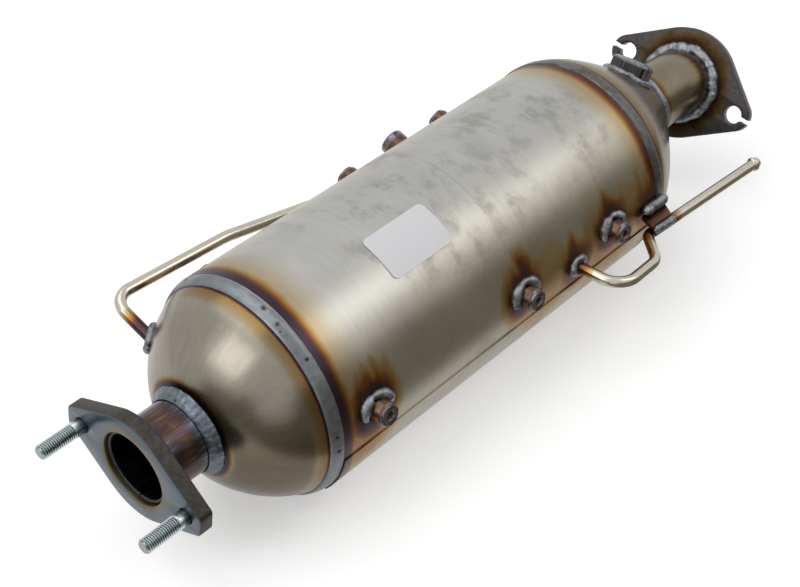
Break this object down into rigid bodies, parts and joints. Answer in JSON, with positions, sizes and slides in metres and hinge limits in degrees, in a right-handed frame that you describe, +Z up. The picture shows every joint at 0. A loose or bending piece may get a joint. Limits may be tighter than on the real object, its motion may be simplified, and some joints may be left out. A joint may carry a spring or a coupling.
{
  "type": "diesel particulate filter canister",
  "caption": "Welded stainless exhaust filter canister with a domed outlet, an eccentric inlet cone, flanged necks, sensor bosses and bent pressure pipes round a ceramic wall-flow filter.",
  "frame": {"origin": "centre of the outlet flange's machined face, on the canister's axis", "axes": "+X along the canister's axis from the outlet flange to the inlet cone, +Z up with the hexagonal boss and the label on the upper side, -Y towards the side that the front pressure pipe is on"},
  "size_m": [0.6229, 0.215, 0.1562],
  "materials": {
    "shell_steel": "brushed stainless sheet, straw tinted",
    "tinted_steel": "heat tinted stainless sheet",
    "weld_bead": "lumpy blue-grey weld metal",
    "flange_steel": "dull heat tinted plate",
    "stud_steel": "bright zinc plating",
    "pipe_steel": "bright drawn tube",
    "boss_steel": "copper and violet heat tint",
    "filter_ceramic": "bare porous ceramic, soot grey",
    "catalyst_ceramic": "coated porous ceramic",
    "support_mat": "pressed ceramic fibre",
    "label_paper": "bare white label"
  },
  "bodies": {
    "root": {"filter_shell": "shell_steel", "shell_seam": "shell_steel", "blank_label": "label_paper", "filter_brick": "filter_ceramic", "filter_mat": "support_mat", "filter_keeper": "shell_steel", "catalyst_brick": "catalyst_ceramic", "catalyst_mat": "support_mat", "catalyst_keeper": "shell_steel", "outlet_dome": "tinted_steel", "outlet_dome_weld": "weld_bead", "outlet_neck": "tinted_steel", "outlet_neck_weld": "weld_bead", "outlet_flange": "flange_steel", "outlet_bore_weld": "weld_bead", "outlet_stud_front": "stud_steel", "outlet_stud_rear": "stud_steel", "inlet_cone": "tinted_steel", "inlet_cone_weld": "weld_bead", "inlet_neck": "shell_steel", "inlet_neck_weld": "weld_bead", "inlet_flange": "flange_steel", "inlet_flange_weld": "weld_bead", "hex_sensor_boss": "boss_steel", "hex_boss_weld": "weld_bead", "front_standoff_1": "boss_steel", "front_standoff_2": "boss_steel", "front_standoff_3": "boss_steel", "front_standoff_weld_1": "weld_bead", "front_standoff_weld_2": "weld_bead", "front_standoff_weld_3": "weld_bead", "rear_standoff_1": "boss_steel", "rear_standoff_2": "boss_steel", "rear_standoff_3": "boss_steel", "rear_standoff_weld_1": "weld_bead", "rear_standoff_weld_2": "weld_bead", "rear_standoff_weld_3": "weld_bead", "rear_sensor_boss": "boss_steel", "rear_sensor_weld": "weld_bead", "front_pressure_pipe": "pipe_steel", "front_pipe_weld": "weld_bead", "front_pipe_bracket": "tinted_steel", "front_bracket_weld": "weld_bead", "front_pipe_bead": "weld_bead", "rear_pressure_pipe": "pipe_steel", "rear_pipe_weld": "weld_bead", "rear_pipe_bracket": "tinted_steel"}
  },
  "joints": []
}
